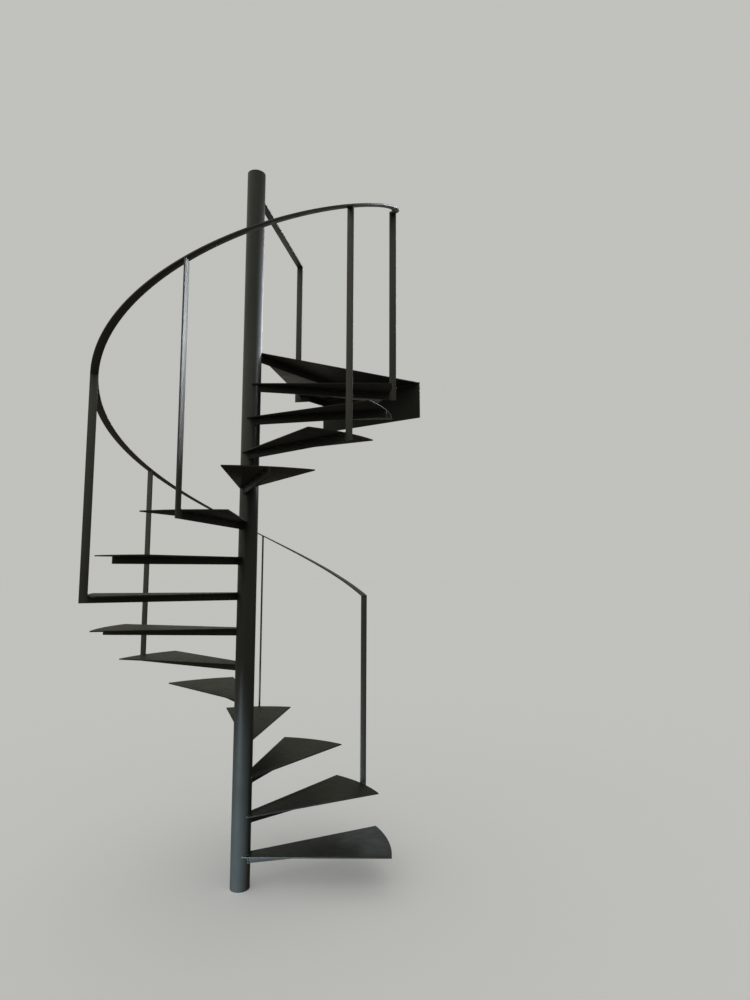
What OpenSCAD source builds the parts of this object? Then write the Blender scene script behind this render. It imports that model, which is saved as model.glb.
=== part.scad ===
/*
Spiral staircase in flat steel: a round column, wedge treads on flat-bar
ribs, flat-bar posts on every second tread, one helical handrail and a
landing with its own guard.
The origin is the centre of the column on the floor. +Z is up, and +Y is
the way off the landing. The flight climbs counter-clockwise seen from above.
*/

/* [Flight] */
// Number of treads below the landing
tread_count = 14; // [10:1:16]
// Height from one tread to the next
rise = 190; // [160:1:210]
// Height from the floor to the first tread
first_rise = 172; // [140:1:210]
// Turn from one tread to the next, degrees
step_angle = 27.6; // [24:0.02:30]
// Direction of the first tread's rib, degrees from +X
first_angle = 47.42; // [0:0.02:359]

/* [Column] */
// Outer diameter of the column tube
column_d = 101.6; // [88.9:0.1:139.7]
// Wall of the column tube
column_wall = 5; // [3:0.5:10]
// Height of the column
column_h = 3890; // [3700:10:4100]
// Thickness of the disc that closes the column's foot
foot_t = 12; // [8:1:20]

/* [Treads] */
// Radius of the treads' outer edge
tread_r = 781; // [650:1:900]
// Thickness of the tread plates
plate_t = 6; // [4:0.5:10]
// Angle that the outer edge of a tread spans, degrees
tread_span = 30.4; // [29:0.1:32]
// Gap between a tread's front edge and the column
tip_gap = 2; // [1:0.5:5]
// Distance from the column's axis to the middle of the ribs
rib_offset = 31; // [0:1:40]
// Depth of the ribs under the plates
rib_h = 35; // [25:1:60]
// Thickness of ribs, posts and rails
bar_t = 8; // [6:1:12]

/* [Balustrade] */
// Width of the flat bar in the posts and rails
bar_w = 40; // [30:1:60]
// Height of the handrail's underside over each tread
rail_over_tread = 1099; // [900:1:1200]
// Steps in the handrail between two treads
rail_steps = 6; // [3:1:10]

/* [Landing] */
// Direction of the landing's front edge, degrees from +X
landing_front_angle = 67.4; // [62:0.1:75]
// Direction of the landing's side edge, degrees from +X
landing_side_angle = 117.4; // [115:0.1:119]
// Distance from the column's axis to the lines of the front and side edges
edge_offset = 25; // [5:1:45]
// Radius of the landing's round corner, which the guard post reaches too
corner_r = 936; // [880:1:1000]
// Distance from the column's axis to the landing's far edge
landing_reach = 1022; // [1010:1:1150]
// Distance from the column's axis to the landing's left side
landing_left = 354; // [300:1:380]
// Distance from the column's axis to the wall plate's right end
wall_plate_right = 460; // [400:1:600]
// Height of the wall plate
wall_plate_h = 234; // [150:1:320]

/* [Guard] */
// Direction of the guard rail, degrees from +X
guard_angle = 116.7; // [115:0.1:118]
// Height of the guard's top over the landing
guard_h = 955; // [850:1:1000]

/* [Hidden] */
$fn = 96;
column_r = column_d / 2;
half_span = tread_span / 2;
post_r = tread_r + bar_w / 2;
landing_z = first_rise + tread_count * rise;
guard_z = landing_z + guard_h;
// Direction of each front edge from its rib, so that its corner ends the span
nosing_turn = asin((column_r + tip_gap) / tread_r) - half_span;
// Climb of the handrail for each unit of its length in plan
rail_slope = rise / (post_r * step_angle * PI / 180);
// Turn of each rib from the line between the column's axis and its outer end
rib_turn = asin(rib_offset / tread_r);
// Turn from the guard rail to the landing's side edge
guard_turn = landing_side_angle - guard_angle;
// Line of the guard's middle, so that its post stands against the side edge
guard_offset = edge_offset / cos(guard_turn) - (corner_r - bar_t / 2) * tan(guard_turn) - bar_w / 2;
far = 2 * tread_r;

function tread_z(k) = first_rise + (k - 1) * rise;
function tread_a(k) = first_angle + (k - 1) * step_angle;
// Point at a distance along a line of this direction that passes the axis at an offset
function on_line(angle, offset, along) = [
    along * cos(angle) + offset * sin(angle),
    along * sin(angle) - offset * cos(angle)
];
function rail_z(k) = tread_z(k) + rail_over_tread;

// Column

module column() {
    color("dimgray")
    difference() {
        cylinder(r = column_r, h = column_h - column_wall);
        translate([0, 0, foot_t])
            cylinder(r = column_r - column_wall, h = column_h);
    }
}

module column_cap() {
    color("dimgray")
    translate([0, 0, column_h - column_wall])
        cylinder(r = column_r, h = column_wall);
}

// What is welded to the column ends on its round face
module off_column(z, h) {
    difference() {
        children();
        translate([0, 0, z - 1])
            cylinder(r = column_r, h = h + 2);
    }
}

// Treads

// Wedge whose front edge passes just clear of the column and whose back edge is radial
module tread(k) {
    tip = on_line(nosing_turn, column_r + tip_gap, column_r / 4);
    front = on_line(nosing_turn, column_r + tip_gap, far);
    back = on_line(half_span, 0, far);
    color("slategray")
    off_column(tread_z(k) - plate_t, plate_t)
    translate([0, 0, tread_z(k) - plate_t])
    rotate(tread_a(k))
    intersection() {
        cylinder(r = tread_r, h = plate_t);
        linear_extrude(plate_t)
            polygon([[0, 0], tip, front, back]);
    }
}

// Flat bar on edge from the column's side to the middle of a tread's outer edge
module rib(k) {
    half = bar_t / 2 / cos(rib_turn);
    inner = -rib_offset / cos(rib_turn);
    color("slategray")
    off_column(tread_z(k) - plate_t - rib_h, rib_h)
    translate([0, 0, tread_z(k) - plate_t - rib_h])
    rotate(tread_a(k))
    linear_extrude(rib_h)
        polygon([
            [0, inner - half],
            [tread_r, -half],
            [tread_r, half],
            [0, inner + half]
        ]);
}

// Posts

// Flat bar from the bottom of a rib to the handrail, its top cut to the handrail's slope
module post(k) {
    foot = tread_z(k) - plate_t - rib_h;
    half = bar_t / 2;
    color("slategray")
    rotate(tread_a(k))
    translate([tread_r, 0, 0])
    rotate([90, 0, 90])
    linear_extrude(bar_w)
        polygon([
            [-half, foot],
            [half, foot],
            [half, rail_z(k) + half * rail_slope],
            [-half, rail_z(k) - half * rail_slope]
        ]);
}

// Handrail

// Flat bar swept along the helix from the first post to the last, level across its width
module handrail() {
    first = 2;
    last = tread_count;
    // The bar's ends are flush with the faces of the first and last posts
    lap = asin(bar_t / 2 / post_r);
    rings = (last - first) * rail_steps;
    from = tread_a(first) - lap;
    turn = (last - first) * step_angle + 2 * lap;
    climb_start = rail_z(first) - bar_t / 2 * rail_slope;
    climb = (last - first) * rise + bar_t * rail_slope;
    inner = post_r - bar_w / 2;
    outer = post_r + bar_w / 2;
    points = [
        for (i = [0 : rings])
            let (a = from + turn * i / rings, z = climb_start + climb * i / rings)
            for (corner = [[inner, 0], [outer, 0], [outer, bar_t], [inner, bar_t]])
                [corner[0] * cos(a), corner[0] * sin(a), z + corner[1]]
    ];
    sides = [
        for (i = [0 : rings - 1], j = [0 : 3])
            let (p = 4 * i + j, q = 4 * i + (j + 1) % 4)
            for (face = [[p, p + 4, q], [q, p + 4, q + 4]])
                face
    ];
    end = 4 * rings;
    color("slategray")
    polyhedron(
        points = points,
        faces = concat([[0, 1, 2, 3]], sides, [[end + 3, end + 2, end + 1, end]])
    );
}

// Landing

// Plate from the column to the wall plate, with a round corner at the guard post
module landing_plate() {
    z = landing_z - plate_t;
    front_out = on_line(landing_front_angle, edge_offset, far);
    side_out = on_line(landing_side_angle, edge_offset, far);
    front_in = on_line(landing_front_angle, edge_offset, 0);
    side_in = on_line(landing_side_angle, edge_offset, 0);
    color("slategray")
    off_column(z, plate_t)
    translate([0, 0, z])
    linear_extrude(plate_t)
    intersection() {
        polygon([front_in, front_out, side_out, side_in]);
        union() {
            circle(r = corner_r);
            translate([-landing_left, 0])
                square([landing_left + wall_plate_right, landing_reach]);
        }
        translate([-far, -column_r])
            square([2 * far, landing_reach + column_r]);
    }
}

module landing_rib() {
    color("slategray")
    off_column(landing_z - plate_t - rib_h, rib_h)
    translate([-bar_t / 2, 0, landing_z - plate_t - rib_h])
        cube([bar_t, landing_reach, rib_h]);
}

// Flat bar on edge under the left side, bent round the corner to the guard post
module landing_side_rib() {
    side_start = sqrt(pow(corner_r, 2) - pow(landing_left, 2));
    corner_angle = acos(-landing_left / corner_r);
    color("slategray")
    translate([0, 0, landing_z - plate_t - rib_h])
    linear_extrude(rib_h) {
        translate([-landing_left, side_start - bar_t])
            square([bar_t, landing_reach - side_start + bar_t]);
        intersection() {
            difference() {
                circle(r = corner_r);
                circle(r = corner_r - bar_t);
            }
            polygon([
                [0, 0],
                on_line(corner_angle - 0.3, 0, far),
                on_line(guard_angle, guard_offset + bar_w / 2, far),
                on_line(guard_angle, guard_offset + bar_w / 2, 0)
            ]);
        }
    }
}

// Plate that joins the landing to the edge of the floor
module wall_plate() {
    color("slategray")
    translate([-landing_left, landing_reach, landing_z - wall_plate_h])
        cube([landing_left + wall_plate_right, bar_t, wall_plate_h]);
}

// Guard

// Stands a child in the guard's plane, with x along the guard
module in_guard_plane() {
    start = on_line(guard_angle, guard_offset, 0);
    translate([start[0], start[1], 0])
    rotate(guard_angle)
        children();
}

// Flat bar square to the guard rail, from the bottom of the side rib to the rail
module guard_post() {
    foot = landing_z - plate_t - rib_h;
    color("slategray")
    in_guard_plane()
    translate([corner_r - bar_t, -bar_w / 2, foot])
        cube([bar_t, bar_w, guard_z - bar_t - foot]);
}

module guard_rail() {
    color("slategray")
    off_column(guard_z - bar_t, bar_t)
    in_guard_plane()
    translate([0, -bar_w / 2, guard_z - bar_t])
        cube([corner_r, bar_w, bar_t]);
}

column();
column_cap();
tread(1);  // tread_01
tread(2);  // tread_02
tread(3);  // tread_03
tread(4);  // tread_04
tread(5);  // tread_05
tread(6);  // tread_06
tread(7);  // tread_07
tread(8);  // tread_08
tread(9);  // tread_09
tread(10);  // tread_10
tread(11);  // tread_11
tread(12);  // tread_12
tread(13);  // tread_13
tread(14);  // tread_14
rib(1);  // rib_01
rib(2);  // rib_02
rib(3);  // rib_03
rib(4);  // rib_04
rib(5);  // rib_05
rib(6);  // rib_06
rib(7);  // rib_07
rib(8);  // rib_08
rib(9);  // rib_09
rib(10);  // rib_10
rib(11);  // rib_11
rib(12);  // rib_12
rib(13);  // rib_13
rib(14);  // rib_14
post(2);  // post_02
post(4);  // post_04
post(6);  // post_06
post(8);  // post_08
post(10);  // post_10
post(12);  // post_12
post(14);  // post_14
handrail();
landing_plate();
landing_rib();
landing_side_rib();
wall_plate();
guard_post();
guard_rail();
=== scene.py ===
"""Finished looks of the steel spiral staircase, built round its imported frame.

Lengths are metres in the frame's own axes: the origin is the column's foot,
+Z is up and +Y is the way off the landing. Angles are degrees from +X,
counter-clockwise seen from above, as the flight climbs.
"""
import math

import bmesh
import bpy
from mathutils import Matrix, Vector


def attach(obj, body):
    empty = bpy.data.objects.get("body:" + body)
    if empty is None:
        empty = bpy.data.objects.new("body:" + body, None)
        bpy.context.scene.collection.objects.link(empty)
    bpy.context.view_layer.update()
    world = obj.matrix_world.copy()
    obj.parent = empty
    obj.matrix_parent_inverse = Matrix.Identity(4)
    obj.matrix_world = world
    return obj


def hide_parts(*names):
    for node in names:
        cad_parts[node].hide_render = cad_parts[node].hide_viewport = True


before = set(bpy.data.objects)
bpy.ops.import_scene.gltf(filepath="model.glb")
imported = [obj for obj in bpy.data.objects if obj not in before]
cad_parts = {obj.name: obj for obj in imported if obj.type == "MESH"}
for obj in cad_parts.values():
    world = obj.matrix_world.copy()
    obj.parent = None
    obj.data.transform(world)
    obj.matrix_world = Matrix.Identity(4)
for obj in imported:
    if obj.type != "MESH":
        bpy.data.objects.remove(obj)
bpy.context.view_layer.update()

# Sizes of the stair, as in its CAD source
TREAD_COUNT = 14
RISE = 0.190
FIRST_RISE = 0.172
STEP_ANGLE = 27.6
FIRST_ANGLE = 47.42
COLUMN_R = 0.0508
COLUMN_H = 3.890
CAP_T = 0.005
TREAD_R = 0.781
TREAD_SPAN = 30.4
PLATE_T = 0.006
TIP_GAP = 0.002
RIB_OFFSET = 0.031
RIB_H = 0.035
BAR_T = 0.008
BAR_W = 0.040
RAIL_OVER_TREAD = 1.099
FRONT_EDGE_ANGLE = 67.4
SIDE_EDGE_ANGLE = 117.4
EDGE_OFFSET = 0.025
CORNER_R = 0.936
LANDING_REACH = 1.022
LANDING_LEFT = 0.354
LANDING_RIB_ANGLE = 90
GUARD_ANGLE = 116.7
GUARD_H = 0.955

FLIGHT = range(1, TREAD_COUNT + 1)
POSTS = range(2, TREAD_COUNT + 1, 2)
POST_R = TREAD_R + BAR_W / 2
LANDING_Z = FIRST_RISE + TREAD_COUNT * RISE
LANDING_UNDER = LANDING_Z - PLATE_T
GUARD_Z = LANDING_Z + GUARD_H
RIB_TURN = math.degrees(math.asin(RIB_OFFSET / TREAD_R))
NOSING_TURN = math.degrees(math.asin((COLUMN_R + TIP_GAP) / TREAD_R)) - TREAD_SPAN / 2
RAIL_SLOPE = RISE / (POST_R * math.radians(STEP_ANGLE))

# Sizes of the finish
PLATE_EASE = 0.0007
BAR_EASE = 0.0011
EASE_SEGMENTS = 2
FOOT_EASE = 0.0008
CAP_EASE = 0.0014
CAP_SHOULDER = 0.0004
COLUMN_SIDES = 160
RAIL_POINTS = 361
BEAD_R = 0.0032
BUTT_BEAD_R = 0.0024
BEAD_PITCH = 0.0026
BEAD_RIPPLE = 0.14
BEAD_UNEVENNESS = 0.5

# Limits for cleaning and easing a mesh
SAME_POINT = 0.00001
FLAT_WITHIN = math.radians(0.4)
EASED_OVER = math.radians(30)
CREASED_OVER = math.radians(40)
TURNED_CREASE_OVER = math.radians(50)


def tread_z(k):
    return FIRST_RISE + (k - 1) * RISE


def tread_a(k):
    return FIRST_ANGLE + (k - 1) * STEP_ANGLE


def on_line(angle, offset, along):
    """Point at a distance along a line of this direction that passes the axis at an offset."""
    c, s = math.cos(math.radians(angle)), math.sin(math.radians(angle))
    return along * c + offset * s, along * s - offset * c


# Paint

DUST = (0.16, 0.15, 0.135, 1.0)
DUST_ROUGHNESS = 0.25
DUST_SCALE = 9.0
# Lighter, slightly blue colour on the eased edges: rubbed paint, and also a painted highlight of edges
# catching light
RUBBED_EDGE_AND_HIGHLIGHT = (0.13, 0.135, 0.14, 1.0)
RUBBED_EDGE_AND_HIGHLIGHT_MOST = 0.35
RUBBED_EDGE_AND_HIGHLIGHT_SCALE = 55.0
CLOUD_SHARE = 0.75
CLOUD_SCALE = 3.0
GRAIN_SHARE = 0.25
GRAIN_SCALE = 1100.0
GLOSS_SCALE = 22.0
SMOOTHER_BY = 0.04
ROUGHER_BY = 0.05
WAVE_SCALE = 16.0
WAVE_DEPTH = 0.0006
WAVE_STRENGTH = 0.35
PEEL_SCALE = 420.0
PEEL_DEPTH = 0.00008
PEEL_STRENGTH = 0.55
PAINT_IOR = 1.5


class Nodes:
    """A node tree that is written as one call for each node, with its inputs by name or number."""

    def __init__(self, tree):
        self.tree = tree

    def add(self, kind, inputs=None, **settings):
        node = self.tree.nodes.new(kind)
        for key, value in settings.items():
            setattr(node, key, value)
        for key, value in (inputs or {}).items():
            if isinstance(value, bpy.types.NodeSocket):
                self.tree.links.new(value, node.inputs[key])
            else:
                node.inputs[key].default_value = value
        return node

    def math(self, operation, a, b=0.0, clamp=False):
        return self.add("ShaderNodeMath", {0: a, 1: b}, operation=operation, use_clamp=clamp).outputs[0]

    def noise(self, where, scale, detail=2.0, roughness=0.5):
        inputs = {"Vector": where, "Scale": scale, "Detail": detail, "Roughness": roughness}
        return self.add("ShaderNodeTexNoise", inputs).outputs["Fac"]

    def remap(self, value, low, high, to_low, to_high):
        inputs = {"Value": value, "From Min": low, "From Max": high, "To Min": to_low, "To Max": to_high}
        return self.add("ShaderNodeMapRange", inputs).outputs["Result"]

    def blend(self, factor, a, b):
        inputs = {"Factor": factor, 6: a, 7: b}
        return self.add("ShaderNodeMix", inputs, data_type="RGBA").outputs[2]


def powder_coat(name, dark, light, roughness, gleam, dust=0.0):
    """Stoved powder paint: grey with a faint cloud, fine orange peel, dust on top, and eased edges painted
    lighter, partly rubbed paint and partly a painted highlight.
    """
    paint = bpy.data.materials.new(name)
    paint.use_nodes = True
    n = Nodes(paint.node_tree)
    shader = paint.node_tree.nodes["Principled BSDF"]
    where = n.add("ShaderNodeTexCoord").outputs["Object"]

    cloud = n.remap(n.noise(where, CLOUD_SCALE, 4.0), 0.35, 0.65, 0.0, 1.0)
    grain = n.remap(n.noise(where, GRAIN_SCALE, 1.0), 0.3, 0.7, 0.0, 1.0)
    cloud = n.math("MULTIPLY", cloud, CLOUD_SHARE)
    grain = n.math("MULTIPLY", grain, GRAIN_SHARE)
    shade = n.math("ADD", cloud, grain)
    colour = n.blend(shade, (*dark, 1.0), (*light, 1.0))

    normal = n.add("ShaderNodeNewGeometry").outputs["Normal"]
    upward = n.add("ShaderNodeSeparateXYZ", {0: normal}).outputs["Z"]
    lying = n.remap(upward, 0.7, 1.0, 0.0, dust)
    settled = n.remap(n.noise(where, DUST_SCALE, 6.0, 0.65), 0.35, 0.75, 0.15, 1.0)
    dusty = n.math("MULTIPLY", lying, settled, clamp=True)
    colour = n.blend(dusty, colour, DUST)

    # Eased edges painted lighter in patches: partly rubbed paint, partly a painted highlight of the edges
    # catching light
    edge = n.add("ShaderNodeAttribute", attribute_name="eased_edge").outputs["Fac"]
    rubbed_and_highlight = n.remap(n.noise(where, RUBBED_EDGE_AND_HIGHLIGHT_SCALE, 3.0, 0.6), 0.42, 0.68, 0.0, RUBBED_EDGE_AND_HIGHLIGHT_MOST)
    colour = n.blend(n.math("MULTIPLY", edge, rubbed_and_highlight, clamp=True), colour, RUBBED_EDGE_AND_HIGHLIGHT)

    smoothest = roughness - SMOOTHER_BY
    roughest = roughness + ROUGHER_BY
    gloss = n.remap(n.noise(where, GLOSS_SCALE, 3.0), 0.3, 0.7, smoothest, roughest)
    gloss = n.math("ADD", gloss, n.math("MULTIPLY", dusty, DUST_ROUGHNESS))
    wave = n.add("ShaderNodeBump", {
        "Strength": WAVE_STRENGTH,
        "Distance": WAVE_DEPTH,
        "Height": n.noise(where, WAVE_SCALE, 2.0),
    })
    peel = n.add("ShaderNodeBump", {
        "Strength": PEEL_STRENGTH,
        "Distance": PEEL_DEPTH,
        "Height": n.noise(where, PEEL_SCALE, 2.0, 0.45),
        "Normal": wave.outputs["Normal"],
    })

    n.tree.links.new(colour, shader.inputs["Base Color"])
    n.tree.links.new(gloss, shader.inputs["Roughness"])
    n.tree.links.new(peel.outputs["Normal"], shader.inputs["Normal"])
    shader.inputs["IOR"].default_value = PAINT_IOR
    shader.inputs["Specular IOR Level"].default_value = gleam
    return paint


COLUMN_PAINT = powder_coat(
    "column powder coat", dark=(0.017, 0.020, 0.021), light=(0.023, 0.027, 0.028),
    roughness=0.45, gleam=0.45,
)
PLATE_PAINT = powder_coat(
    "plate powder coat", dark=(0.013, 0.015, 0.015), light=(0.019, 0.021, 0.021),
    roughness=0.53, gleam=0.21, dust=0.04,
)
BAR_PAINT = powder_coat(
    "bar powder coat", dark=(0.021, 0.023, 0.023), light=(0.029, 0.031, 0.031),
    roughness=0.56, gleam=0.90, dust=0.03,
)
RIB_PAINT = powder_coat(
    "rib powder coat", dark=(0.015, 0.017, 0.017), light=(0.021, 0.023, 0.023),
    roughness=0.60, gleam=0.26,
)
WELD_PAINT = powder_coat(
    "weld powder coat", dark=(0.018, 0.021, 0.022), light=(0.026, 0.030, 0.031),
    roughness=0.44, gleam=0.45,
)


# Pieces

def finish_piece(name, mesh, paint, slot, *nodes):
    """One finished piece: its mesh already lies in place, and it stands for these solids."""
    piece = bpy.data.objects.new(name, mesh)
    bpy.context.scene.collection.objects.link(piece)
    if not mesh.materials:
        mesh.materials.append(paint)
    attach(piece, "root")
    if nodes:
        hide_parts(*nodes)
    return piece


def eased_copy(node, ease):
    """The solid's shape with its sharp edges rounded, as on rolled bar or a deburred plate."""
    bm = bmesh.new()
    bm.from_mesh(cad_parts[node].data)
    edge = bm.faces.layers.float.new("eased_edge")
    bmesh.ops.remove_doubles(bm, verts=bm.verts, dist=SAME_POINT)
    bmesh.ops.dissolve_limit(bm, angle_limit=FLAT_WITHIN, verts=bm.verts, edges=bm.edges)
    sharp = [e for e in bm.edges if e.is_manifold and e.calc_face_angle() > EASED_OVER]
    rounded = bmesh.ops.bevel(
        bm, geom=sharp, offset=ease, offset_type="OFFSET", segments=EASE_SEGMENTS,
        profile=0.5, affect="EDGES", clamp_overlap=True,
    )
    for face in rounded["faces"]:
        face[edge] = 1.0
    for face in bm.faces:
        face.smooth = True
    for e in bm.edges:
        e.smooth = not e.is_manifold or e.calc_face_angle() < CREASED_OVER
    mesh = bpy.data.meshes.new(node)
    bm.to_mesh(mesh)
    bm.free()
    return mesh


def turned(name, profile):
    """A solid turned about the column's axis from a profile of (radius, height), bottom to top."""
    bm = bmesh.new()
    turns = [2 * math.pi * i / COLUMN_SIDES for i in range(COLUMN_SIDES)]
    rings = []
    for radius, height in profile:
        if radius:
            points = [(radius * math.cos(t), radius * math.sin(t), height) for t in turns]
        else:
            points = [(0, 0, height)]
        rings.append([bm.verts.new(p) for p in points])
    for low, high in zip(rings, rings[1:]):
        for i in range(COLUMN_SIDES):
            corners = [low[i % len(low)], low[(i + 1) % len(low)]]
            corners += [high[(i + 1) % len(high)], high[i % len(high)]]
            face = bm.faces.new(list(dict.fromkeys(corners)))
            face.smooth = True
    for e in bm.edges:
        e.smooth = e.is_manifold and e.calc_face_angle() < TURNED_CREASE_OVER
    mesh = bpy.data.meshes.new(name)
    bm.to_mesh(mesh)
    bm.free()
    return mesh


# Geometry node trees

FLAT_FACE = 0.98
BEAD_SIDES = 7
POINTS_PER_RIPPLE = 4.0
BLUNT_END = 1.02
UNEVEN_SCALE = 130.0
SEED_SHIFT = 7.31


def tree_with(name, *inputs):
    """An empty tree with a geometry in and out, and its named inputs of (kind, name)."""
    tree = bpy.data.node_groups.new(name, "GeometryNodeTree")
    face = tree.interface
    face.new_socket("Geometry", in_out="INPUT", socket_type="NodeSocketGeometry")
    for kind, label in inputs:
        face.new_socket(label, in_out="INPUT", socket_type="NodeSocket" + kind)
    face.new_socket("Geometry", in_out="OUTPUT", socket_type="NodeSocketGeometry")
    n = Nodes(tree)
    return n, n.add("NodeGroupInput").outputs


def close_tree(n, geometry, paint):
    """Ends a tree as plain smooth mesh in one paint."""
    real = n.add("GeometryNodeRealizeInstances", {0: geometry}).outputs[0]
    painted = n.add("GeometryNodeSetMaterial", {"Geometry": real, "Material": paint}).outputs[0]
    n.add("NodeGroupOutput", {0: painted})


def grown(name, mesh, n, **values):
    """The plain mesh that a tree makes of this one, with the tree's inputs by name."""
    seed = bpy.data.objects.new(name, mesh)
    bpy.context.scene.collection.objects.link(seed)
    modifier = seed.modifiers.new(name, "NODES")
    modifier.node_group = n.tree
    for item in n.tree.interface.items_tree:
        key = item.name.replace(" ", "_")
        if item.in_out == "INPUT" and key in values:
            modifier[item.identifier] = values[key]
    made = bpy.data.meshes.new_from_object(seed.evaluated_get(bpy.context.evaluated_depsgraph_get()))
    made.name = name
    bpy.data.objects.remove(seed)
    return made


def bent_bar_tree():
    """Flat bar with eased edges, bent flatways round the axis while it climbs at an even rate."""
    n, given = tree_with(
        "helical flat bar",
        ("Float", "Radius"), ("Float", "Start Angle"), ("Float", "Turn"), ("Float", "Start Height"),
        ("Float", "Climb"), ("Float", "Width"), ("Float", "Thickness"), ("Float", "Edge Radius"),
        ("Int", "Points"), ("Material", "Paint"),
    )
    section = n.add(
        "GeometryNodeCurvePrimitiveQuadrilateral",
        {"Width": given["Width"], "Height": given["Thickness"]},
    ).outputs[0]
    section = n.add(
        "GeometryNodeFilletCurve",
        {"Curve": section, "Count": EASE_SEGMENTS, "Radius": given["Edge Radius"]},
        mode="POLY",
    ).outputs[0]
    line = n.add("GeometryNodeCurvePrimitiveLine", {"Start": (0, 0, 0), "End": (1, 0, 0)}).outputs[0]
    line = n.add(
        "GeometryNodeResampleCurve", {"Curve": line, "Count": given["Points"]}, mode="COUNT",
    ).outputs[0]
    line = n.add("GeometryNodeSetCurveNormal", {"Curve": line}, mode="Z_UP").outputs[0]
    bar = n.add(
        "GeometryNodeCurveToMesh", {"Curve": line, "Profile Curve": section, "Fill Caps": True},
    ).outputs[0]

    normal = n.add("ShaderNodeSeparateXYZ", {0: n.add("GeometryNodeInputNormal").outputs[0]}).outputs
    sides = n.math("MAXIMUM", n.math("ABSOLUTE", normal["Y"]), n.math("ABSOLUTE", normal["Z"]))
    squareness = n.math("MAXIMUM", sides, n.math("ABSOLUTE", normal["X"]))
    slanted = n.math("LESS_THAN", squareness, FLAT_FACE)
    bar = n.add(
        "GeometryNodeStoreNamedAttribute", {"Geometry": bar, "Name": "eased_edge", "Value": slanted},
        data_type="FLOAT", domain="FACE",
    ).outputs[0]

    place = n.add("ShaderNodeSeparateXYZ", {0: n.add("GeometryNodeInputPosition").outputs[0]}).outputs
    angle = n.math("ADD", given["Start Angle"], n.math("MULTIPLY", given["Turn"], place["X"]))
    reach = n.math("SUBTRACT", given["Radius"], place["Y"])
    height = n.math("ADD", given["Start Height"], n.math("MULTIPLY", given["Climb"], place["X"]))
    bent = n.add("ShaderNodeCombineXYZ", {
        "X": n.math("MULTIPLY", reach, n.math("COSINE", angle)),
        "Y": n.math("MULTIPLY", reach, n.math("SINE", angle)),
        "Z": n.math("ADD", height, place["Z"]),
    }).outputs[0]
    bar = n.add("GeometryNodeSetPosition", {"Geometry": bar, "Position": bent}).outputs[0]
    close_tree(n, bar, given["Paint"])
    return n


def weld_bead_tree():
    """A rippled bead along every path, thinner and thicker by chance, with round ends."""
    n, given = tree_with(
        "weld bead",
        ("Float", "Bead Radius"), ("Float", "Ripple Pitch"), ("Float", "Ripple Depth"),
        ("Float", "Unevenness"), ("Int", "Seed"), ("Material", "Paint"),
    )
    path = n.add("GeometryNodeMeshToCurve", {0: given["Geometry"]}).outputs[0]
    spacing = n.math("DIVIDE", given["Ripple Pitch"], POINTS_PER_RIPPLE)
    path = n.add(
        "GeometryNodeResampleCurve", {"Curve": path, "Length": spacing}, mode="LENGTH",
    ).outputs[0]

    along = n.add("GeometryNodeSplineParameter").outputs["Length"]
    whole = n.add("GeometryNodeSplineLength").outputs["Length"]
    to_end = n.math("MINIMUM", along, n.math("SUBTRACT", whole, along))
    short = n.math("SUBTRACT", 1.0, n.math("DIVIDE", to_end, given["Bead Radius"], clamp=True))
    round_end = n.math("SQRT", n.math("SUBTRACT", BLUNT_END, n.math("MULTIPLY", short, short)))

    phase = n.math("FRACT", n.math("DIVIDE", along, given["Ripple Pitch"]))
    swell = n.math("SINE", n.math("MULTIPLY", phase, math.pi))
    ripple = n.math("MULTIPLY", swell, given["Ripple Depth"])
    place = n.add("GeometryNodeInputPosition").outputs[0]
    shift = n.add("ShaderNodeCombineXYZ", {"X": n.math("MULTIPLY", given["Seed"], SEED_SHIFT)}).outputs[0]
    where = n.add("ShaderNodeVectorMath", {0: place, 1: shift}).outputs[0]
    chance = n.math("SUBTRACT", n.noise(where, UNEVEN_SCALE), 0.5)
    chance = n.math("MULTIPLY", chance, given["Unevenness"])
    fullness = n.math("ADD", n.math("ADD", 1.0, ripple), chance)

    section = n.add(
        "GeometryNodeCurvePrimitiveCircle",
        {"Resolution": BEAD_SIDES, "Radius": given["Bead Radius"]},
    ).outputs[0]
    bead = n.add("GeometryNodeCurveToMesh", {
        "Curve": path,
        "Profile Curve": section,
        "Scale": n.math("MULTIPLY", fullness, round_end),
        "Fill Caps": True,
    }).outputs[0]
    bead = n.add("GeometryNodeSetShadeSmooth", {"Geometry": bead}).outputs[0]
    close_tree(n, bead, given["Paint"])
    return n


HELICAL_BAR = bent_bar_tree()
WELD_BEAD = weld_bead_tree()


# Column

tube_top = COLUMN_H - CAP_T
column_mesh = turned("steel_column", [
    (0, 0),
    (COLUMN_R - FOOT_EASE, 0),
    (COLUMN_R, FOOT_EASE),
    (COLUMN_R, tube_top),
    (0, tube_top),
])
cap_mesh = turned("steel_column_cap", [
    (0, tube_top),
    (COLUMN_R, tube_top),
    (COLUMN_R, COLUMN_H - CAP_EASE),
    (COLUMN_R - CAP_SHOULDER, COLUMN_H - CAP_SHOULDER),
    (COLUMN_R - CAP_EASE, COLUMN_H),
    (0, COLUMN_H),
])
finish_piece("steel_column", column_mesh, COLUMN_PAINT, "column_paint", "column")
finish_piece("steel_column_cap", cap_mesh, COLUMN_PAINT, "column_paint", "column_cap")

# Plates and bars

PLATES = [f"tread_{k:02d}" for k in FLIGHT] + ["landing_plate"]
BARS = [f"rib_{k:02d}" for k in FLIGHT] + [f"post_{k:02d}" for k in POSTS]
BARS += ["landing_rib", "landing_side_rib", "wall_plate", "guard_post", "guard_rail"]
for node in PLATES:
    finish_piece("steel_" + node, eased_copy(node, PLATE_EASE), PLATE_PAINT, "plate_paint", node)
for node in BARS:
    paint = RIB_PAINT if "rib" in node or node == "wall_plate" else BAR_PAINT
    finish_piece("steel_" + node, eased_copy(node, BAR_EASE), paint, "bar_paint", node)

# Handrail

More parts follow.
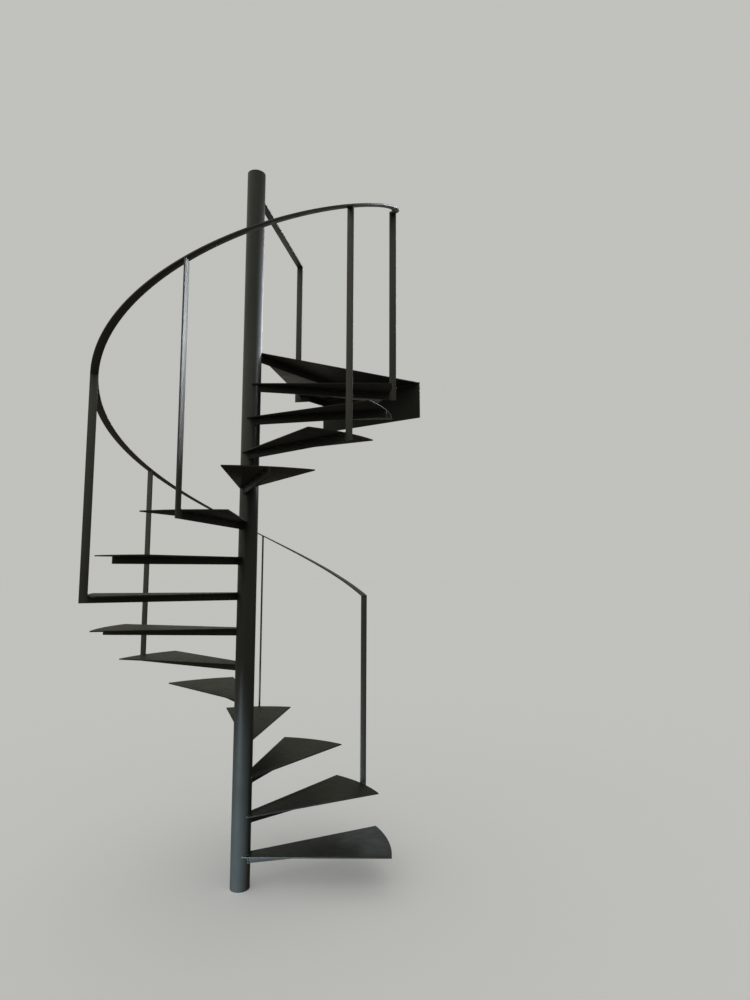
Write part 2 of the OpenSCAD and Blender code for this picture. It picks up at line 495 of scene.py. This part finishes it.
lap = math.asin(BAR_T / 2 / POST_R)
rail_turn = math.radians((POSTS[-1] - POSTS[0]) * STEP_ANGLE) + 2 * lap
rail_mesh = grown(
    "handrail_bar", bpy.data.meshes.new("handrail_seed"), HELICAL_BAR,
    Radius=POST_R,
    Start_Angle=math.radians(tread_a(POSTS[0])) - lap,
    Turn=rail_turn,
    Start_Height=tread_z(POSTS[0]) + RAIL_OVER_TREAD - BAR_T / 2 * RAIL_SLOPE + BAR_T / 2,
    Climb=(POSTS[-1] - POSTS[0]) * RISE + BAR_T * RAIL_SLOPE,
    Width=BAR_W,
    Thickness=BAR_T,
    Edge_Radius=BAR_EASE,
    Points=RAIL_POINTS,
    Paint=BAR_PAINT,
)
finish_piece("handrail_bar", rail_mesh, BAR_PAINT, "bar_paint", "handrail")


# Welds

STITCH_STARTS = (0.10, 0.27, 0.44, 0.61, 0.735)
STITCH_LENGTH = 0.035
LANDING_STITCH_STARTS = (0.12, 0.34, 0.56, 0.78)
LANDING_STITCH_LENGTH = 0.04
WALL_WELD_RIGHT = 0.44
CORNER_GAP = 0.010
FACE_GAP = 0.003
ROOT_GAP = 0.002
EDGE_GAP = 0.001
TIP_CLEAR_DEGREES = 1
RIB_CLEAR_DEGREES = 4
ARC_STEP_DEGREES = 6.0


def arc(radius, start, end, z):
    """Points of an arc round the column's axis."""
    count = max(2, round(abs(end - start) / ARC_STEP_DEGREES) + 1)
    turns = [start + (end - start) * i / (count - 1) for i in range(count)]
    return [(radius * math.cos(math.radians(t)), radius * math.sin(math.radians(t)), z) for t in turns]


def turned_path(points, angle):
    """The points of a path, turned about the column's axis."""
    spin = Matrix.Rotation(math.radians(angle), 3, "Z")
    return [spin @ Vector(p) for p in points]


def root_angle(offset, direction):
    """Where a bar's face that passes the axis at this offset meets the column, as an angle."""
    return direction - math.degrees(math.asin(offset / COLUMN_R))


def round_rib_path(near, far, top, foot):
    """Down one face of a rib at the column, along its lower edge and up the other face."""
    down = arc(COLUMN_R, near, near, top)[:1]
    up = arc(COLUMN_R, far, far, top)[:1]
    return down + arc(COLUMN_R, near, far, foot) + up


def column_weld_paths(k):
    """Round the rib's root, and along the tread plate's arc on top and beside the rib below."""
    top = tread_z(k)
    under = top - PLATE_T
    foot = under - RIB_H
    near = root_angle(RIB_OFFSET + BAR_T / 2, RIB_TURN)
    far = root_angle(RIB_OFFSET - BAR_T / 2, RIB_TURN)
    tip = NOSING_TURN - math.degrees(math.atan2(COLUMN_R + TIP_GAP, COLUMN_R / 4)) + TIP_CLEAR_DEGREES
    paths = [
        round_rib_path(near, far, under, foot),
        arc(COLUMN_R, tip, TREAD_SPAN / 2, top),
        arc(COLUMN_R, tip, near - RIB_CLEAR_DEGREES, under),
        arc(COLUMN_R, far + RIB_CLEAR_DEGREES, TREAD_SPAN / 2, under),
    ]
    return [turned_path(p, tread_a(k)) for p in paths]


def stitch_paths(k):
    """Short runs on both sides of the rib, under the plate."""
    under = tread_z(k) - PLATE_T
    paths = []
    for start in STITCH_STARTS:
        for side in (-1, 1):
            offset = RIB_OFFSET + side * BAR_T / 2
            ends = [on_line(RIB_TURN, offset, along) for along in (start, start + STITCH_LENGTH)]
            paths.append(turned_path([(x, y, under) for x, y in ends], tread_a(k)))
    return paths


def post_weld_paths(k):
    """Round the joint of a post with its rib and plate, and both sides of its top under the handrail."""
    top = tread_z(k)
    foot = top - PLATE_T - RIB_H
    half = BAR_T / 2
    joint = [(TREAD_R, half, foot), (TREAD_R, half, top), (TREAD_R, -half, top), (TREAD_R, -half, foot)]
    paths = [turned_path(joint, tread_a(k))]
    for side in (-1, 1):
        z = top + RAIL_OVER_TREAD + side * half * RAIL_SLOPE
        reaches = (TREAD_R + FACE_GAP, TREAD_R + BAR_W - FACE_GAP)
        paths.append(turned_path([(reach, side * half, z) for reach in reaches], tread_a(k)))
    return paths


def landing_weld_paths():
    """The landing plate and its rib on the column, then the rib, side rib and plate on the wall plate."""
    rib_foot = LANDING_UNDER - RIB_H
    front = root_angle(EDGE_OFFSET, FRONT_EDGE_ANGLE)
    side = root_angle(EDGE_OFFSET, SIDE_EDGE_ANGLE)
    near = root_angle(BAR_T / 2, LANDING_RIB_ANGLE)
    far = root_angle(-BAR_T / 2, LANDING_RIB_ANGLE)
    rib_faces = (-BAR_T / 2, BAR_T / 2)
    side_rib_face = BAR_T - LANDING_LEFT
    paths = [
        arc(COLUMN_R, front + TIP_CLEAR_DEGREES, side - TIP_CLEAR_DEGREES, LANDING_Z),
        arc(COLUMN_R, front + TIP_CLEAR_DEGREES, near - RIB_CLEAR_DEGREES, LANDING_UNDER),
        round_rib_path(near, far, LANDING_UNDER, rib_foot),
    ]
    for x in (*rib_faces, side_rib_face):
        heights = (LANDING_UNDER - ROOT_GAP, rib_foot + ROOT_GAP)
        paths.append([(x, LANDING_REACH, z) for z in heights])
        if x in rib_faces:
            for start in LANDING_STITCH_STARTS:
                ends = (start, start + LANDING_STITCH_LENGTH)
                paths.append([(x, y, LANDING_UNDER) for y in ends])
    left_run = (side_rib_face + CORNER_GAP, -BAR_T / 2 - CORNER_GAP)
    right_run = (BAR_T / 2 + CORNER_GAP, WALL_WELD_RIGHT)
    for run in (left_run, right_run):
        paths.append([(x, LANDING_REACH, LANDING_UNDER) for x in run])
    return paths


def guard_weld_paths():
    """The guard post on the side rib and plate, the rail on the post, and the rail on the column."""
    turn = math.radians(SIDE_EDGE_ANGLE - GUARD_ANGLE)
    inner = EDGE_OFFSET / math.cos(turn) - (CORNER_R - BAR_T / 2) * math.tan(turn)
    outer = inner - BAR_W
    rail_under = GUARD_Z - BAR_T
    face = CORNER_R - BAR_T

    def at(along, offset, z):
        return (*on_line(GUARD_ANGLE, offset, along), z)

    start, end = root_angle(inner, GUARD_ANGLE), root_angle(outer, GUARD_ANGLE)
    return [
        [at(face, inner, LANDING_UNDER - RIB_H + ROOT_GAP), at(face, inner, LANDING_UNDER - EDGE_GAP)],
        [at(face, inner, LANDING_Z), at(CORNER_R, inner, LANDING_Z)],
        [at(face, inner - FACE_GAP, rail_under), at(face, outer + FACE_GAP, rail_under)],
        arc(COLUMN_R, start, end, rail_under),
        arc(COLUMN_R, start, end, GUARD_Z),
    ]


def path_mesh(name, paths):
    """A mesh of edges only, one chain for each path."""
    points = [p for path in paths for p in path]
    edges = []
    first = 0
    for path in paths:
        edges += [(first + i, first + i + 1) for i in range(len(path) - 1)]
        first += len(path)
    mesh = bpy.data.meshes.new(name)
    mesh.from_pydata([tuple(p) for p in points], edges, [])
    return mesh


def weld(name, paths, radius, slot, seed):
    """One piece of painted weld beads along these paths."""
    mesh = grown(
        name, path_mesh(name, paths), WELD_BEAD,
        Bead_Radius=radius,
        Ripple_Pitch=BEAD_PITCH,
        Ripple_Depth=BEAD_RIPPLE,
        Unevenness=BEAD_UNEVENNESS,
        Seed=seed,
        Paint=WELD_PAINT,
    )
    return finish_piece(name, mesh, WELD_PAINT, slot)


weld("tread_root_welds", [p for k in FLIGHT for p in column_weld_paths(k)], BEAD_R, "column_paint", 1)
weld("rib_stitch_welds", [p for k in FLIGHT for p in stitch_paths(k)], BEAD_R, "bar_paint", 2)
weld("post_welds", [p for k in POSTS for p in post_weld_paths(k)], BUTT_BEAD_R, "bar_paint", 3)
weld("landing_welds", landing_weld_paths(), BEAD_R, "bar_paint", 4)
weld("guard_welds", guard_weld_paths(), BUTT_BEAD_R, "bar_paint", 5)


# Studio

def soft_light(name, place, aim, size, power, colour, spread):
    """A large soft lamp that points at a place, keeps to its spread and doesn't show itself."""
    lamp = bpy.data.lights.new(name, "AREA")
    lamp.shape = "RECTANGLE"
    lamp.size, lamp.size_y = size
    lamp.energy = power
    lamp.color = colour
    lamp.spread = math.radians(spread)
    holder = bpy.data.objects.new(name, lamp)
    holder.location = place
    holder.rotation_euler = (Vector(aim) - Vector(place)).to_track_quat("-Z", "Y").to_euler()
    holder.visible_camera = False
    bpy.context.scene.collection.objects.link(holder)
    return holder


front_lamp = soft_light(
    "low front", place=(0.35, -2.95, 0.24), aim=(0.0, 0.0, 0.06), size=(1.5, 0.30),
    power=20.0, colour=(0.80, 0.93, 1.0), spread=38,
)
side_lamp = soft_light(
    "side", place=(3.3, 1.6, 0.9), aim=(0.0, 0.4, 0.9), size=(1.8, 1.6),
    power=1.2, colour=(1.0, 0.98, 0.92), spread=120,
)
back_lamp = soft_light(
    "high back", place=(1.3, 3.3, 4.45), aim=(0.05, 0.0, 3.0), size=(1.2, 1.2),
    power=9.7, colour=(0.88, 0.94, 1.0), spread=22,
)
faint_lamp = soft_light(
    "faint back", place=(-1.15, 2.95, 1.40), aim=(0.55, 0.50, 0.18), size=(0.9, 0.7),
    power=0.13, colour=(0.72, 0.90, 1.0), spread=22,
)
rim_lamp = soft_light(
    "rim", place=(0.76, 3.3, 4.1), aim=(0.05, 0.0, 3.0), size=(1.3, 0.8),
    power=18.0, colour=(0.86, 0.90, 1.0), spread=20,
)
soft_light(
    "broad back", place=(-1.5, 1.95, 2.7), aim=(0.0, 0.0, 3.1), size=(2.4, 1.3),
    power=4.5, colour=(1.0, 0.98, 0.90), spread=160,
)

# Surroundings: bright above and to one side, dim at eye level and dark below.
# The camera itself sees one even pale tone.
ABOVE = (0.565, 0.55, 0.455, 1.0)
EYE_LEVEL = (0.285, 0.28, 0.22, 1.0)
BELOW = (0.145, 0.128, 0.096, 1.0)
SHOWN = (0.535, 0.533, 0.507, 1.0)
BRIGHT_SIDE = (-0.342, -0.940, 0.0)
SIDE_STRENGTH = (0.5, 1.45)
RISE_TO_ABOVE = (0.0, 0.8)
RISE_FROM_BELOW = (-0.25, 0.05)
world = bpy.data.worlds.new("studio")
world.use_nodes = True
sky = Nodes(world.node_tree)
direction = sky.add("ShaderNodeTexCoord").outputs["Generated"]
height = sky.add("ShaderNodeSeparateXYZ", {0: direction}).outputs["Z"]
toward = sky.add(
    "ShaderNodeVectorMath", {0: direction, 1: BRIGHT_SIDE}, operation="DOT_PRODUCT",
).outputs["Value"]
upper = sky.blend(sky.remap(height, *RISE_TO_ABOVE, 0.0, 1.0), EYE_LEVEL, ABOVE)
colour = sky.blend(sky.remap(height, *RISE_FROM_BELOW, 0.0, 1.0), BELOW, upper)
strength = sky.remap(toward, -1.0, 1.0, *SIDE_STRENGTH)
light = sky.add("ShaderNodeBackground", {"Color": colour, "Strength": strength})
shown = sky.add("ShaderNodeBackground", {"Color": SHOWN})
seen = sky.add("ShaderNodeLightPath").outputs["Is Camera Ray"]
mixed = sky.add("ShaderNodeMixShader", {0: seen, 1: light.outputs[0], 2: shown.outputs[0]}).outputs[0]
sky.tree.links.new(mixed, world.node_tree.nodes["World Output"].inputs["Surface"])
bpy.context.scene.world = world
bpy.context.scene.view_settings.view_transform = "Standard"

# Floor, pale and matt, with a little glow that carries it into the even tone behind it
FLOOR_R = 60.0
FLOOR_SIDES = 96
FLOOR_COLOUR = (0.793, 0.80, 0.915, 1.0)
FLOOR_GLOW = (0.966, 1.0, 0.985, 1.0)
FLOOR_GLOW_STRENGTH = 0.148
floor_mesh = bpy.data.meshes.new("studio_floor")
bm = bmesh.new()
bmesh.ops.create_circle(bm, cap_ends=True, segments=FLOOR_SIDES, radius=FLOOR_R)
bm.to_mesh(floor_mesh)
bm.free()
floor_paint = bpy.data.materials.new("pale studio floor")
floor_paint.use_nodes = True
floor_shader = floor_paint.node_tree.nodes["Principled BSDF"]
floor_shader.inputs["Base Color"].default_value = FLOOR_COLOUR
floor_shader.inputs["Roughness"].default_value = 1.0
floor_shader.inputs["Specular IOR Level"].default_value = 0.0
floor_shader.inputs["Emission Color"].default_value = FLOOR_GLOW
floor_shader.inputs["Emission Strength"].default_value = FLOOR_GLOW_STRENGTH
floor_mesh.materials.append(floor_paint)
floor = bpy.data.objects.new("studio_floor", floor_mesh)
bpy.context.scene.collection.objects.link(floor)
# The floor catches shadows, while the light from below stays that of the surroundings
floor.visible_diffuse = False
floor.visible_glossy = False


def set_reach(lamp, state, *names):
    """With INCLUDE the lamp lights these objects alone, with EXCLUDE everything but these."""
    group = bpy.data.collections.new(state.lower() + "_" + lamp.name.replace(" ", "_"))
    for name in names:
        group.objects.link(bpy.data.objects[name])
    for member in group.collection_objects:
        member.light_linking.link_state = state
    lamp.light_linking.receiver_collection = group


COLUMN_PIECES = ("steel_column", "steel_column_cap")
set_reach(front_lamp, "EXCLUDE", "studio_floor", "steel_rib_02")
set_reach(side_lamp, "EXCLUDE", "studio_floor")
set_reach(back_lamp, "EXCLUDE", "studio_floor", *COLUMN_PIECES)
set_reach(rim_lamp, "INCLUDE", *COLUMN_PIECES)
set_reach(faint_lamp, "INCLUDE", "steel_tread_01")

# Camera, at the place and angle of the photograph

EYE = Vector((2.5851, -2.3917, 1.6425))
HEADING = math.radians(35.958)
TILT = math.radians(5.989)
ROLL = math.radians(-0.185)
FOCAL_LENGTH_PIXELS = 635.71
IMAGE_HEIGHT_PIXELS = 1000
forward = Vector((-math.sin(HEADING) * math.cos(TILT), math.cos(HEADING) * math.cos(TILT), math.sin(TILT)))
level = Vector((math.cos(HEADING), math.sin(HEADING), 0))
upright = level.cross(forward)
right = math.cos(ROLL) * level - math.sin(ROLL) * upright
up = math.sin(ROLL) * level + math.cos(ROLL) * upright
camera_data = bpy.data.cameras.new("camera")
camera_data.sensor_width = 36.0
camera_data.lens = FOCAL_LENGTH_PIXELS * camera_data.sensor_width / IMAGE_HEIGHT_PIXELS
camera = bpy.data.objects.new("camera", camera_data)
camera.matrix_world = Matrix.Translation(EYE) @ Matrix((right, up, -forward)).transposed().to_4x4()
bpy.context.scene.collection.objects.link(camera)
bpy.context.scene.camera = camera
